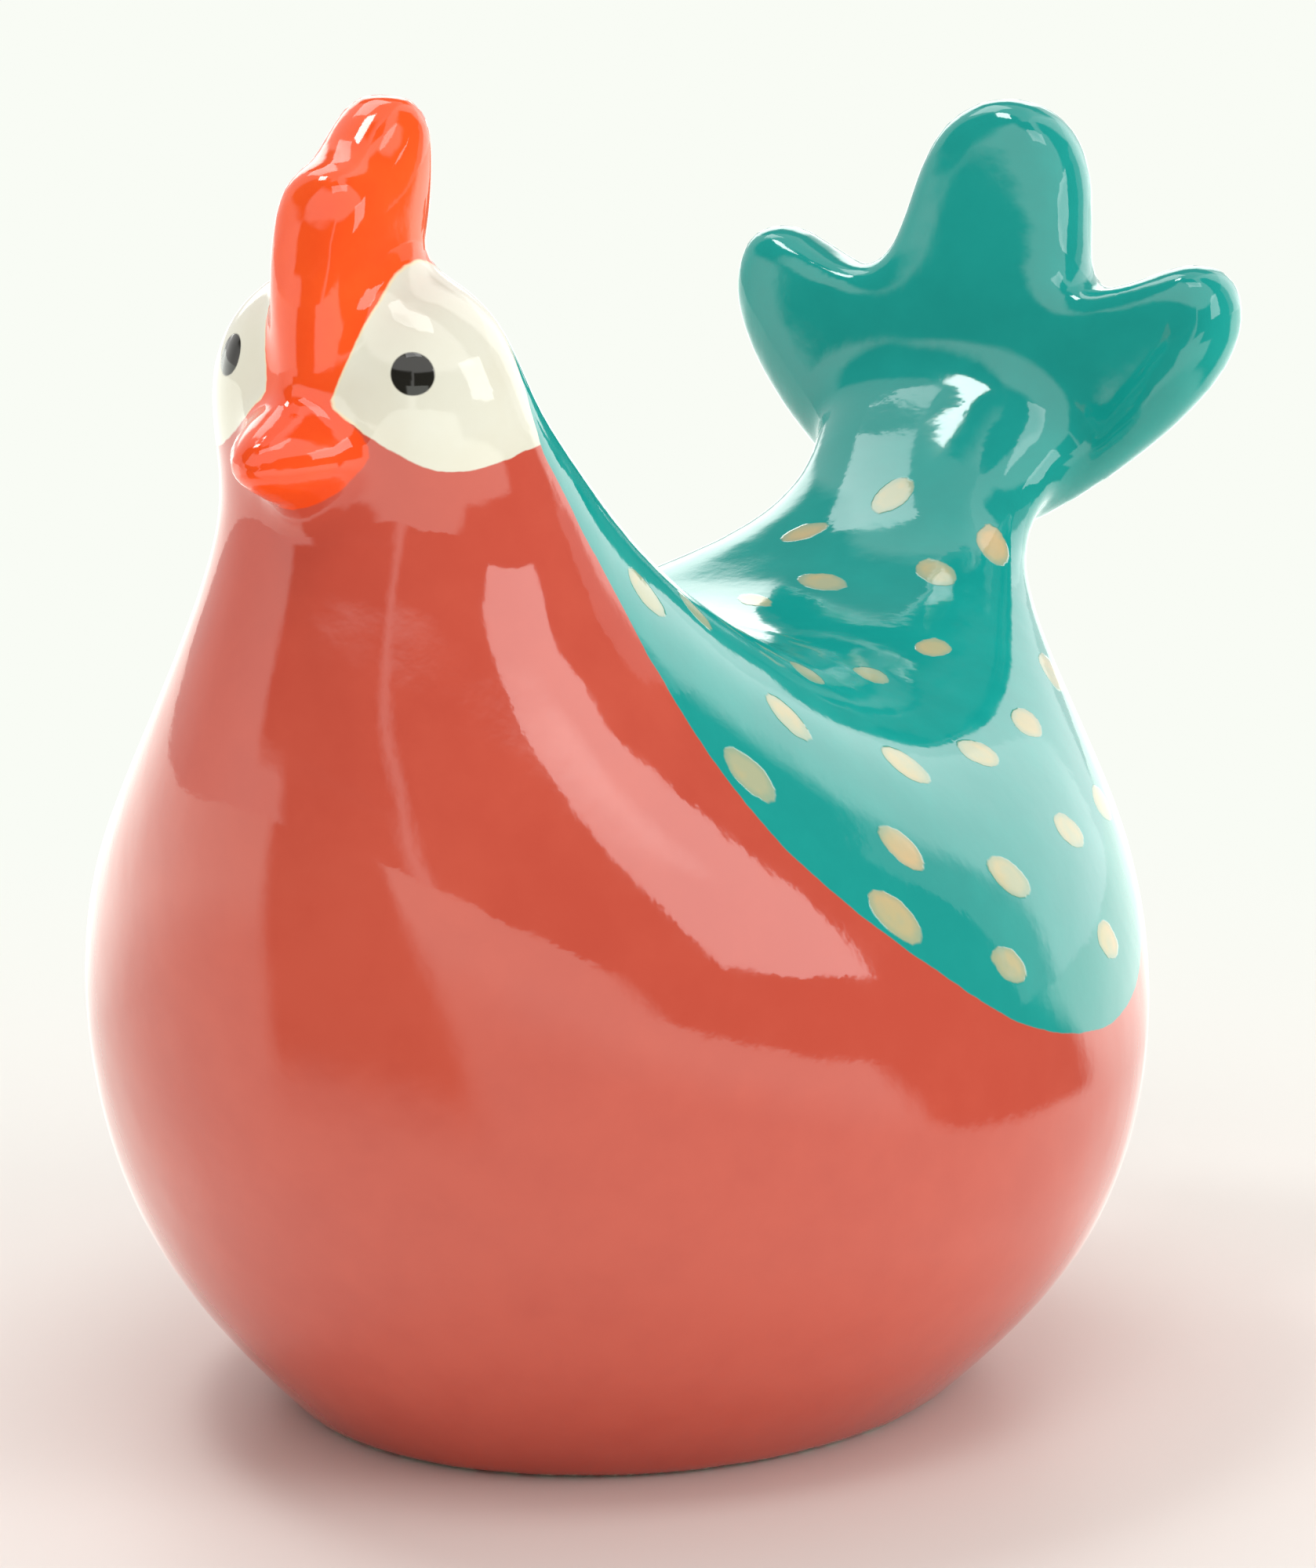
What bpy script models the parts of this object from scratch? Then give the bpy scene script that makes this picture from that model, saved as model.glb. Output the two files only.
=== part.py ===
"""Glazed earthenware hen: one slip-cast, hollow figurine standing on a flat foot.

The hen faces -Y and its left side is +X. The foot's underside is at z = 0.
"""
import math

import bmesh
import bpy
from mathutils import Matrix, Vector

MM = 0.001

# Belly: level rings from the foot up to where neck and tail part.
FOOT_LENGTH = 59 * MM
FOOT_WIDTH = 49.5 * MM
UNDERBELLY_LENGTH = 80 * MM
UNDERBELLY_WIDTH = 76.5 * MM
UNDERBELLY_HEIGHT = 12 * MM
BELLY_LENGTH = 96.5 * MM
BELLY_WIDTH = 80.5 * MM
BELLY_HEIGHT = 28 * MM
BREAST_LENGTH = 99 * MM
BREAST_WIDTH = 75 * MM
BREAST_HEIGHT = 42 * MM
PARTING_SHIFT = 4 * MM
PARTING_LENGTH = 99.5 * MM
PARTING_WIDTH = 60.5 * MM
PARTING_HEIGHT = 52 * MM

# The ring that tucks in under the foot, before the foot is cut flat.
TUCK_DEPTH = 5 * MM
TUCK_SHARE = 0.8

# Front and rear of the parting ring, from which head and tail are placed.
PARTING_Y = -PARTING_SHIFT
FRONT_Y = PARTING_Y - PARTING_LENGTH / 2
REAR_Y = PARTING_Y + PARTING_LENGTH / 2

# Saddle between neck and tail.
SADDLE_SETBACK = 14 * MM
SADDLE_RISE = 3.5 * MM
SADDLE_SIDE_DROP = 2 * MM
SADDLE_HALF_WIDTH = 15 * MM
SADDLE_Y = PARTING_Y + SADDLE_SETBACK
SADDLE_HEIGHT = PARTING_HEIGHT + SADDLE_RISE

# Neck and throat.
NECK_SETBACK = 25.25 * MM
NECK_RISE = 14 * MM
NECK_LENGTH = 43 * MM
NECK_WIDTH = 32.5 * MM
THROAT_SETBACK = 23.25 * MM
THROAT_RISE = 9 * MM
THROAT_LENGTH = 29 * MM
THROAT_WIDTH = 27 * MM
NECK_Y = FRONT_Y + NECK_SETBACK
NECK_HEIGHT = PARTING_HEIGHT + NECK_RISE
THROAT_Y = FRONT_Y + THROAT_SETBACK
THROAT_HEIGHT = NECK_HEIGHT + THROAT_RISE

# Head, widest just under the eyes and closed by two crown rings.
HEAD_SETBACK = 17.25 * MM
HEAD_WIDTH = 27 * MM
HEAD_LENGTH = 19.5 * MM
HEAD_TOP = 9 * MM
EYE_RISE = 8.5 * MM
CHEEK_DROP = 1 * MM
CROWN_RINGS = ((0.62, 0.84), (1.02, 0.42))
CROWN_TIP = 1.06
HEAD_Y = FRONT_Y + HEAD_SETBACK
EYE_HEIGHT = THROAT_HEIGHT + EYE_RISE

# Tail stalk, flaring into the root of the fan.
STALK_INSET = 3.75 * MM
STALK_RISE = 7 * MM
STALK_LENGTH = 20 * MM
STALK_WIDTH = 18 * MM
TAIL_ROOT_OVERHANG = 3.25 * MM
TAIL_ROOT_RISE = 5.5 * MM
TAIL_ROOT_LENGTH = 10.5 * MM
TAIL_ROOT_WIDTH = 26 * MM
ROOT_END_RISE = 5 * MM
ROOT_END_LENGTH = 6 * MM
ROOT_END_WIDTH = 20.5 * MM
ROOT_TIP_RISE = 2 * MM
STALK_Y = REAR_Y - STALK_INSET
STALK_HEIGHT = PARTING_HEIGHT + STALK_RISE
TAIL_ROOT_Y = REAR_Y + TAIL_ROOT_OVERHANG
TAIL_ROOT_HEIGHT = STALK_HEIGHT + TAIL_ROOT_RISE

# Three-lobed tail fan, upright across the body and leaning back.
# Its outline is one half, (across, up), as shares of half the width and of the rise.
FAN_LEAN = math.radians(19)
FAN_OVERHANG = 5 * MM
FAN_WIDTH = 45.6 * MM
FAN_RISE = 34.5 * MM
FAN_THICKNESS = 9.4 * MM
FAN_ROUNDING = 3.4 * MM
FAN_FOOT_SHARE = 0.6
FAN_LIFT = 0.5 * MM
FAN_OUTLINE = [
    (0.0, 1.015), (0.19, 0.985), (0.325, 0.875), (0.365, 0.73), (0.385, 0.61), (0.44, 0.56),
    (0.57, 0.585), (0.71, 0.635), (0.85, 0.668), (0.98, 0.63), (1.035, 0.52), (0.995, 0.40),
    (0.865, 0.27), (0.695, 0.155), (0.50, 0.05), (0.32, -0.03), (0.16, -0.07),
]
FAN_Y = REAR_Y + FAN_OVERHANG
FAN_HEIGHT = STALK_HEIGHT + FAN_LIFT

# Comb: a thick two-lobed slab over the crown, thinning down the forehead.
# Its outline is (back from the head's middle, up from the eyes) in shares of length and rise.
COMB_LENGTH = 16.4 * MM
COMB_RISE = 21.6 * MM
COMB_THICKNESS = 8.6 * MM
COMB_ROUNDING = 3 * MM
COMB_FOOT_SHARE = 0.5
COMB_REAR_SHARE = 0.365
COMB_LOW_SHARE = 0.12
COMB_OUTLINE = [
    (-0.52, -0.12), (-0.61, 0.09), (-0.625, 0.32), (-0.575, 0.55), (-0.475, 0.745),
    (-0.345, 0.81), (-0.22, 0.80), (-0.09, 0.89), (0.08, 1.0), (0.27, 1.01),
    (0.365, 0.83), (0.34, 0.58), (0.28, 0.39), (0.0, 0.23), (-0.24, 0.0),
]

# How a slab is rounded: (share of its thickness, share of its rounding drawn in).
SLAB_LAYERS = ((-0.5, 1.0), (-0.36, 0.35), (0.0, 0.0), (0.36, 0.35), (0.5, 1.0))

# Beak: a soft cone from an eight-cornered root that stands on one corner.
# Its stations are (share of the length, share of the root's size).
BEAK_WIDTH = 12 * MM
BEAK_HEIGHT = 10 * MM
BEAK_LENGTH = 8 * MM
BEAK_DROP = 3.1 * MM
BEAK_TIP_DROP = 0.3 * MM
BEAK_SINK = 1 * MM
BEAK_CORNERS = 8
BEAK_FLANK_SHARE = 0.8
BEAK_STATIONS = ((-0.5, 1.0), (0.0, 1.0), (0.30, 0.90), (0.72, 0.52), (0.98, 0.22))

# Slip-cast wall, the end of its hollow in the stalk, and the pour hole in the foot.
WALL = 4 * MM
STALK_HOLLOW_SHARE = 0.6
POUR_HOLE_DIAMETER = 12 * MM
POUR_HOLE_Y = 11 * MM
POUR_HOLE_CUT = 2.5 * WALL

# Painted borders seen from the side, (back, up) in shares of breast length and eye height.
BACK_BORDER = [
    (-0.293, 1.32), (-0.306, 1.126), (-0.339, 1.048), (-0.342, 1.006), (-0.335, 0.953),
    (-0.283, 0.844), (-0.268, 0.692), (-0.202, 0.537), (-0.110, 0.447), (-0.007, 0.388),
    (0.069, 0.374), (0.134, 0.378), (0.183, 0.398), (0.333, 0.527), (0.485, 0.641), (0.76, 0.79),
]
FACE_BORDER = [
    (-0.61, 1.0), (-0.475, 0.994), (-0.441, 0.965), (-0.416, 0.945), (-0.400, 0.945),
    (-0.380, 0.950), (-0.335, 0.957), (-0.2, 0.965),
]
COMB_MARGIN = 0.3 * MM
BEAK_ROOT_Y = HEAD_Y - 5 * MM
EYE_DIAMETER = 3.1 * MM
EYE_SPREAD = 7.75 * MM
EYE_FORWARD = 6 * MM
EYE_LIFT = 2.5 * MM

# Glazes, in linear colour.
GLAZES = {
    "coral_glaze": (0.66, 0.095, 0.06),
    "teal_glaze": (0.012, 0.30, 0.26),
    "white_glaze": (0.80, 0.78, 0.66),
    "orange_glaze": (0.95, 0.10, 0.015),
    "black_glaze": (0.012, 0.011, 0.008),
}
GLAZE_ROUGHNESS = 0.08

# Mesh fineness.
BLEND_VOXEL = 1 * MM
BLEND_STEPS = 6
BLEND_FACTOR = 0.5
TRUNK_SIDES = 16
BRANCH_SIDES = 12
BRANCH_LEAD = math.radians(30)
TRUNK_LEVELS = 3
SLAB_LEVELS = 3
HOLLOW_LEVELS = 2
HOLLOW_VOXEL = 2 * MM
HOLLOW_STEPS = 4
HOLLOW_TRIANGLES = 1300
POUR_HOLE_SIDES = 32
OUTSIDE_TRIANGLES = 9200
FOOT_TRIM = 0.2 * MM
LINE_SNAP = 0.15 * MM
SNAP = 0.01 * MM


def level_ring(mesh, height, centre_y, length, width, sides):
    """Adds one level oval of vertices, counted round from -X through the front."""
    lead = BRANCH_LEAD if sides == BRANCH_SIDES else 0
    ring = []
    for index in range(sides):
        turn = math.radians(-90) - lead + math.tau * index / sides
        x = width / 2 * math.sin(turn)
        y = centre_y - length / 2 * math.cos(turn)
        ring.append(mesh.verts.new((x, y, height)))
    return ring


def tail_ring(mesh, height, centre_y, length, width, tilt):
    """Adds one oval of the tail stalk, counted round from +X through the rear."""
    ring = []
    for index in range(BRANCH_SIDES):
        turn = math.radians(-90) - BRANCH_LEAD + math.tau * index / BRANCH_SIDES
        x = -width / 2 * math.sin(turn)
        reach = length / 2 * math.cos(turn)
        y = centre_y + reach * math.cos(tilt)
        ring.append(mesh.verts.new((x, y, height - reach * math.sin(tilt))))
    return ring


def bridge(mesh, lower, upper):
    """Joins two rings of equal count with quads."""
    count = len(lower)
    for index in range(count):
        following = (index + 1) % count
        mesh.faces.new((lower[index], lower[following], upper[following], upper[index]))


def cap(mesh, ring, point):
    """Closes a ring with triangles to one point."""
    tip = mesh.verts.new(point)
    count = len(ring)
    for index in range(count):
        mesh.faces.new((ring[index], ring[(index + 1) % count], tip))


def between(start, end, share):
    return start + (end - start) * share


def trunk_cage(to_tail_root):
    """Foot, belly, saddle, neck, head and tail stalk as one branching cage.

    Without the tail root the stalk is closed just above its own ring.
    """
    mesh = bmesh.new()
    belly_rings = [
        (-TUCK_DEPTH, 0, FOOT_LENGTH * TUCK_SHARE, FOOT_WIDTH * TUCK_SHARE),
        (0, 0, FOOT_LENGTH, FOOT_WIDTH),
        (UNDERBELLY_HEIGHT, 0, UNDERBELLY_LENGTH, UNDERBELLY_WIDTH),
        (BELLY_HEIGHT, 0, BELLY_LENGTH, BELLY_WIDTH),
        (BREAST_HEIGHT, PARTING_Y / 2, BREAST_LENGTH, BREAST_WIDTH),
        (PARTING_HEIGHT, PARTING_Y, PARTING_LENGTH, PARTING_WIDTH),
    ]
    rings = [level_ring(mesh, *ring, TRUNK_SIDES) for ring in belly_rings]
    cap(mesh, rings[0][::-1], (0, 0, -TUCK_DEPTH))
    for lower, upper in zip(rings, rings[1:]):
        bridge(mesh, lower, upper)

    parting = rings[-1]
    half = TRUNK_SIDES // 2
    side_z = SADDLE_HEIGHT - SADDLE_SIDE_DROP
    saddle = [
        mesh.verts.new((SADDLE_HALF_WIDTH, SADDLE_Y, side_z)),
        mesh.verts.new((0, SADDLE_Y, SADDLE_HEIGHT)),
        mesh.verts.new((-SADDLE_HALF_WIDTH, SADDLE_Y, side_z)),
    ]

    head_rings = [
        (NECK_HEIGHT, NECK_Y, NECK_LENGTH, NECK_WIDTH),
        (THROAT_HEIGHT, THROAT_Y, THROAT_LENGTH, THROAT_WIDTH),
        (EYE_HEIGHT - CHEEK_DROP, HEAD_Y, HEAD_LENGTH, HEAD_WIDTH),
    ]
    for rise, size in CROWN_RINGS:
        head_rings.append((EYE_HEIGHT + HEAD_TOP * rise, HEAD_Y, HEAD_LENGTH * size, HEAD_WIDTH * size))
    last = parting[:half + 1] + saddle
    for ring in head_rings:
        following = level_ring(mesh, *ring, BRANCH_SIDES)
        bridge(mesh, last, following)
        last = following
    cap(mesh, last, (0, HEAD_Y, EYE_HEIGHT + HEAD_TOP * CROWN_TIP))

    stalk_rings = [(STALK_HEIGHT, STALK_Y, STALK_LENGTH, STALK_WIDTH, 0)]
    stalk_end = (0, between(STALK_Y, TAIL_ROOT_Y, STALK_HOLLOW_SHARE),
                 between(STALK_HEIGHT, TAIL_ROOT_HEIGHT, STALK_HOLLOW_SHARE))
    if to_tail_root:
        slope = math.tan(FAN_LEAN)
        end_height = TAIL_ROOT_HEIGHT + ROOT_END_RISE
        end_y = TAIL_ROOT_Y + ROOT_END_RISE * slope
        stalk_rings += [
            (TAIL_ROOT_HEIGHT, TAIL_ROOT_Y, TAIL_ROOT_LENGTH, TAIL_ROOT_WIDTH, FAN_LEAN),
            (end_height, end_y, ROOT_END_LENGTH, ROOT_END_WIDTH, FAN_LEAN),
        ]
        stalk_end = (0, end_y + ROOT_TIP_RISE * slope, end_height + ROOT_TIP_RISE)
    last = parting[half:] + parting[:1] + saddle[::-1]
    for ring in stalk_rings:
        following = tail_ring(mesh, *ring)
        bridge(mesh, last, following)
        last = following
    cap(mesh, last, stalk_end)
    bmesh.ops.recalc_face_normals(mesh, faces=mesh.faces)
    return mesh


def as_object(name, mesh):
    data = bpy.data.meshes.new(name)
    mesh.to_mesh(data)
    mesh.free()
    item = bpy.data.objects.new(name, data)
    bpy.context.collection.objects.link(item)
    return item


def evaluated(item):
    """A bmesh of the object with its modifiers, in the scene's frame."""
    graph = bpy.context.evaluated_depsgraph_get()
    mesh = bmesh.new()
    mesh.from_object(item, graph)
    mesh.transform(item.matrix_world)
    return mesh


def subdivided(item, levels):
    smoother = item.modifiers.new("Round", "SUBSURF")
    smoother.levels = levels
    smoother.render_levels = levels
    return item


def cut_level(mesh, height):
    """Takes away everything under a level plane and closes the cut."""
    everything = mesh.verts[:] + mesh.edges[:] + mesh.faces[:]
    cut = bmesh.ops.bisect_plane(mesh, geom=everything, dist=SNAP,
                                 plane_co=(0, 0, height), plane_no=(0, 0, -1), clear_outer=True)
    rim = [part for part in cut["geom_cut"] if isinstance(part, bmesh.types.BMEdge)]
    bmesh.ops.contextual_create(mesh, geom=rim)
    bmesh.ops.recalc_face_normals(mesh, faces=mesh.faces)


def trunk(name):
    """The rounded trunk, standing on its flat foot."""
    cage = subdivided(as_object(name + "_cage", trunk_cage(True)), TRUNK_LEVELS)
    mesh = evaluated(cage)
    bpy.data.objects.remove(cage, do_unlink=True)
    cut_level(mesh, 0)
    return as_object(name, mesh)


def joined(forms):
    """All the forms' meshes in one object."""
    whole = bmesh.new()
    for form in forms:
        part = evaluated(form)
        data = bpy.data.meshes.new("form")
        part.to_mesh(data)
        part.free()
        whole.from_mesh(data)
        bpy.data.meshes.remove(data)
        bpy.data.objects.remove(form, do_unlink=True)
    return as_object("forms", whole)


def one_skin(forms, voxel, steps):
    """One even skin round all the forms, its joins softened as slip and glaze leave them."""
    item = joined(forms)
    fuse = item.modifiers.new("Fuse", "REMESH")
    fuse.mode = "VOXEL"
    fuse.voxel_size = voxel
    soften = item.modifiers.new("Soften", "SMOOTH")
    soften.factor = BLEND_FACTOR
    soften.iterations = steps
    mesh = evaluated(item)
    bpy.data.objects.remove(item, do_unlink=True)
    bmesh.ops.triangulate(mesh, faces=mesh.faces)
    return mesh


def thinned(mesh, triangles, kept_corners):
    """The same skin with fewer triangles, its kept corners left in place."""
    share = triangles / len(mesh.faces)
    item = as_object("skin", mesh)
    kept = item.vertex_groups.new(name="kept")
    kept.add(kept_corners, 1.0, "REPLACE")
    thin_out = item.modifiers.new("Thin out", "DECIMATE")
    thin_out.ratio = share
    thin_out.vertex_group = kept.name
    thin_out.invert_vertex_group = True
    mesh = evaluated(item)
    bpy.data.objects.remove(item, do_unlink=True)
    return mesh


def hollow(name):
    """The space that the poured slip leaves: the trunk drawn in by the wall."""
    cage = subdivided(as_object(name + "_cage", trunk_cage(False)), HOLLOW_LEVELS)
    mesh = evaluated(cage)
    bpy.data.objects.remove(cage, do_unlink=True)
    mesh.normal_update()
    drawn_in = [vert.co - vert.normal * WALL for vert in mesh.verts]
    for vert, place in zip(mesh.verts, drawn_in):
        vert.co = place
    mesh = one_skin([as_object(name + "_form", mesh)], HOLLOW_VOXEL, HOLLOW_STEPS)
    mesh = thinned(mesh, HOLLOW_TRIANGLES, [])
    cut_level(mesh, WALL)
    return as_object(name, mesh)


def pour_hole(name):
    mesh = bmesh.new()
    bmesh.ops.create_cone(mesh, cap_ends=True, segments=POUR_HOLE_SIDES,
                          radius1=POUR_HOLE_DIAMETER / 2, radius2=POUR_HOLE_DIAMETER / 2,
                          depth=POUR_HOLE_CUT)
    mesh.transform(Matrix.Translation((0, POUR_HOLE_Y, WALL / 2)))
    return as_object(name, mesh)


def slab(name, outline, thickness, rounding, foot_share):
    """A rounded slab: its outline runs clockwise in (across, up) and is thickened through.

    It thins from its middle height down to foot_share of its thickness at its lowest point.
    """
    mesh = bmesh.new()
    count = len(outline)
    lowest = min(up for _, up in outline)
    middle = (lowest + max(up for _, up in outline)) / 2
    layers = []
    for side, inset in SLAB_LAYERS:
        layer = []
        for index, spot in enumerate(outline):
            along = Vector(outline[(index + 1) % count]) - Vector(outline[index - 1])
            along.normalize()
            across, up = Vector(spot) + Vector((along.y, -along.x)) * rounding * inset
            share = min(max((spot[1] - lowest) / (middle - lowest), 0), 1)
            through = side * thickness * between(foot_share, 1, share)
            layer.append(mesh.verts.new((across, up, through)))
        layers.append(layer)
    for lower, upper in zip(layers, layers[1:]):
        bridge(mesh, lower, upper)
    for layer in (layers[0][::-1], layers[-1]):
        mesh.faces.new(layer)
    bmesh.ops.recalc_face_normals(mesh, faces=mesh.faces)
    return subdivided(as_object(name, mesh), SLAB_LEVELS)


def comb():
    """The comb's slab stands along the head."""
    outline = [(y * COMB_LENGTH, z * COMB_RISE) for y, z in COMB_OUTLINE]
    item = slab("comb_form", outline, COMB_THICKNESS, COMB_ROUNDING, COMB_FOOT_SHARE)
    item.data.transform(Matrix((
        (0, 0, 1, 0),
        (1, 0, 0, HEAD_Y),
        (0, 1, 0, EYE_HEIGHT),
        (0, 0, 0, 1),
    )))
    return item


def fan():
    """The fan's slab stands across the tail and leans back."""
    right = [(x * FAN_WIDTH / 2, z * FAN_RISE) for x, z in FAN_OUTLINE]
    left = [(-x, z) for x, z in right[:0:-1]]
    item = slab("fan_form", left + right, FAN_THICKNESS, FAN_ROUNDING, FAN_FOOT_SHARE)
    lean_back, upright = math.sin(FAN_LEAN), math.cos(FAN_LEAN)
    item.data.transform(Matrix((
        (1, 0, 0, 0),
        (0, lean_back, -upright, FAN_Y),
        (0, upright, lean_back, FAN_HEIGHT),
        (0, 0, 0, 1),
    )))
    return item


def beak():
    """An eight-cornered root drawn forward to a soft tip."""
    mesh = bmesh.new()
    root = Vector((0, HEAD_Y - HEAD_LENGTH / 2 + BEAK_SINK, EYE_HEIGHT - BEAK_DROP))
    rings = []
    for share, size in BEAK_STATIONS:
        centre = root + Vector((0, -share * BEAK_LENGTH, -max(share, 0) * BEAK_TIP_DROP))
        ring = []
        for corner in range(BEAK_CORNERS):
            turn = math.tau * corner / BEAK_CORNERS
            reach = size if corner % 2 == 0 else size * BEAK_FLANK_SHARE
            ring.append(mesh.verts.new(centre + Vector((
                BEAK_WIDTH / 2 * reach * math.cos(turn), 0,
                BEAK_HEIGHT / 2 * reach * math.sin(turn)))))
        rings.append(ring)
    for near, far in zip(rings, rings[1:]):
        bridge(mesh, near, far)
    mesh.faces.new(rings[0])
    cap(mesh, rings[-1], root + Vector((0, -BEAK_LENGTH, -BEAK_TIP_DROP)))
    bmesh.ops.recalc_face_normals(mesh, faces=mesh.faces)
    return subdivided(as_object("beak_form", mesh), SLAB_LEVELS)


def clear_scene():
    for item in list(bpy.data.objects):
        bpy.data.objects.remove(item, do_unlink=True)


def side_distance(place, border):
    """Distance from a border seen from the side, + above or behind it."""
    spot = Vector((place.y, place.z))
    corners = [Vector((y * BREAST_LENGTH, z * EYE_HEIGHT)) for y, z in border]
    nearest = None
    for start, end in zip(corners, corners[1:]):
        along = end - start
        offset = spot - start
        share = min(max(offset.dot(along) / along.length_squared, 0), 1)
        gap = (offset - along * share).length
        if nearest is None or gap < abs(nearest):
            nearest = math.copysign(gap, along.x * offset.y - along.y * offset.x)
    return nearest


def comb_depth(place):
    """How far inside the comb's orange a place is."""
    share = min(max((place.z - EYE_HEIGHT) / (COMB_RISE / 2), 0), 1)
    half = COMB_THICKNESS / 2 * between(COMB_FOOT_SHARE, 1, share) + COMB_MARGIN
    rear = HEAD_Y + COMB_LENGTH * COMB_REAR_SHARE + COMB_MARGIN
    low = EYE_HEIGHT - COMB_RISE * COMB_LOW_SHARE
    return min(half - abs(place.x), rear - place.y, place.z - low)


def beak_depth(place):
    """How far inside the beak's orange a place is."""
    across = place.x / (BEAK_WIDTH / 2)
    upward = (place.z - EYE_HEIGHT + BEAK_DROP) / (BEAK_HEIGHT / 2)
    return min((1 - math.hypot(across, upward)) * BEAK_HEIGHT / 2, BEAK_ROOT_Y - place.y)


def orange_depth(place):
    return max(comb_depth(place), beak_depth(place))


def eye_depth(place):
    eye = Vector((EYE_SPREAD, HEAD_Y - EYE_FORWARD, EYE_HEIGHT + EYE_LIFT))
    return EYE_DIAMETER / 2 - (Vector((abs(place.x), place.y, place.z)) - eye).length


def back_depth(place):
    return side_distance(place, BACK_BORDER)


def face_depth(place):
    return side_distance(place, FACE_BORDER)


# Painted fields over the coral, the lowest paint first.
FIELDS = [
    ("white_glaze", face_depth),
    ("teal_glaze", back_depth),
    ("orange_glaze", orange_depth),
    ("black_glaze", eye_depth),
]


def divide(mesh, depth_of):
    """Divides the faces of a mesh along the line where a field's depth is nothing."""
    depths = {vert: depth_of(vert.co) for vert in mesh.verts}
    on_line = [vert for vert, depth in depths.items() if abs(depth) < LINE_SNAP]
    for vert in on_line:
        depths[vert] = 0
    for edge in list(mesh.edges):
        start, end = edge.verts
        if depths[start] * depths[end] < 0:
            share = depths[start] / (depths[start] - depths[end])
            on_line.append(bmesh.utils.edge_split(edge, start, share)[1])
    bmesh.ops.connect_verts(mesh, verts=on_line)
    bmesh.ops.triangulate(mesh, faces=[face for face in mesh.faces if len(face.verts) > 3])


def paint(mesh):
    """Divides the faces along every border, gives each its glaze, and finds the borders' corners."""
    order = list(GLAZES)
    for name, depth_of in FIELDS:
        divide(mesh, depth_of)
        for face in mesh.faces:
            if depth_of(face.calc_center_median()) > 0:
                face.material_index = order.index(name)
    mesh.verts.index_update()
    return [vert.index for vert in mesh.verts
            if len({face.material_index for face in vert.link_faces}) > 1]


def casting(forms):
    """The painted outside of the hen, cut flat under its foot."""
    mesh = one_skin(forms, BLEND_VOXEL, BLEND_STEPS)
    mesh = thinned(mesh, OUTSIDE_TRIANGLES, paint(mesh))
    cut_level(mesh, FOOT_TRIM)
    mesh.transform(Matrix.Translation((0, 0, -FOOT_TRIM)))
    return mesh


def glaze(name, colour):
    material = bpy.data.materials.new(name)
    material.use_nodes = True
    shader = material.node_tree.nodes["Principled BSDF"]
    shader.inputs["Base Color"].default_value = (*colour, 1)
    shader.inputs["Roughness"].default_value = GLAZE_ROUGHNESS
    shader.inputs["Metallic"].default_value = 0
    material.diffuse_color = (*colour, 1)
    return material


def cut_away(item, cutter):
    cutter.hide_render = True
    cutter.display_type = "WIRE"
    difference = item.modifiers.new(cutter.name, "BOOLEAN")
    difference.operation = "DIFFERENCE"
    difference.solver = "EXACT"
    difference.object = cutter


def main():
    clear_scene()
    hen = as_object("hen", casting([trunk("trunk_form"), fan(), comb(), beak()]))
    cut_away(hen, hollow("hollow"))
    cut_away(hen, pour_hole("pour_hole"))
    for name, colour in GLAZES.items():
        hen.data.materials.append(glaze(name, colour))
    hen.data.shade_smooth()


main()
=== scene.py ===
import math

import bpy
import numpy as np
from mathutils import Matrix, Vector
from mathutils.bvhtree import BVHTree


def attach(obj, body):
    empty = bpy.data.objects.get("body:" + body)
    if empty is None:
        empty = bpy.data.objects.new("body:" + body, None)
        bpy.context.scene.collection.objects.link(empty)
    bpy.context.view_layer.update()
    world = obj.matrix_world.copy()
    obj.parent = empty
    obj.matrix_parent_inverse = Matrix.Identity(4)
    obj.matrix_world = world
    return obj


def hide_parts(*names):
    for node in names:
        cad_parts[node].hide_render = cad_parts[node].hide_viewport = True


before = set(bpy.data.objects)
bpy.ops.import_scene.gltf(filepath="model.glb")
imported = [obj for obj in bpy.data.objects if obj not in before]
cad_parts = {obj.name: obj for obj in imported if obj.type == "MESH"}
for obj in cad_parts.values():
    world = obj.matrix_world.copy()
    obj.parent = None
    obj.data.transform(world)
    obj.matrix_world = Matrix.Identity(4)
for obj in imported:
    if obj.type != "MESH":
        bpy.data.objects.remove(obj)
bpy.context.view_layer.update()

MM = 0.001

# Photograph: the lens stands off the hen's left front and looks a little down.
PICTURE_WIDTH = 1678
PICTURE_HEIGHT = 2000
CAMERA_TURN = math.radians(31)
CAMERA_RISE = math.radians(13)
CAMERA_DISTANCE = 620 * MM
AIM_HEIGHT = 50 * MM
PIXELS_PER_MM = 16.7
AIM_ACROSS = 802.3
AIM_DOWN = 946.9
SENSOR = 36.0

# Casting: fineness of the mesh, then rounds that draw its facets in and let the shape out again.
SKIN_VOXEL = 0.83 * MM
MERGE_GAP = 0.001 * MM
FOOT_FLATNESS = 0.02 * MM
SMOOTHING_ROUNDS = 7
SMOOTHING_STEPS = 5
DRAW_IN = 0.5
LET_OUT = -0.52
# Where the tail stalk runs into the fan, and how far its easing reaches.
JOIN = Vector((0, 46, 71)) * MM
JOIN_CORE = 7 * MM
JOIN_REACH = 15 * MM
JOIN_STEPS = 70
JOIN_FLOW = 0.5

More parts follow.
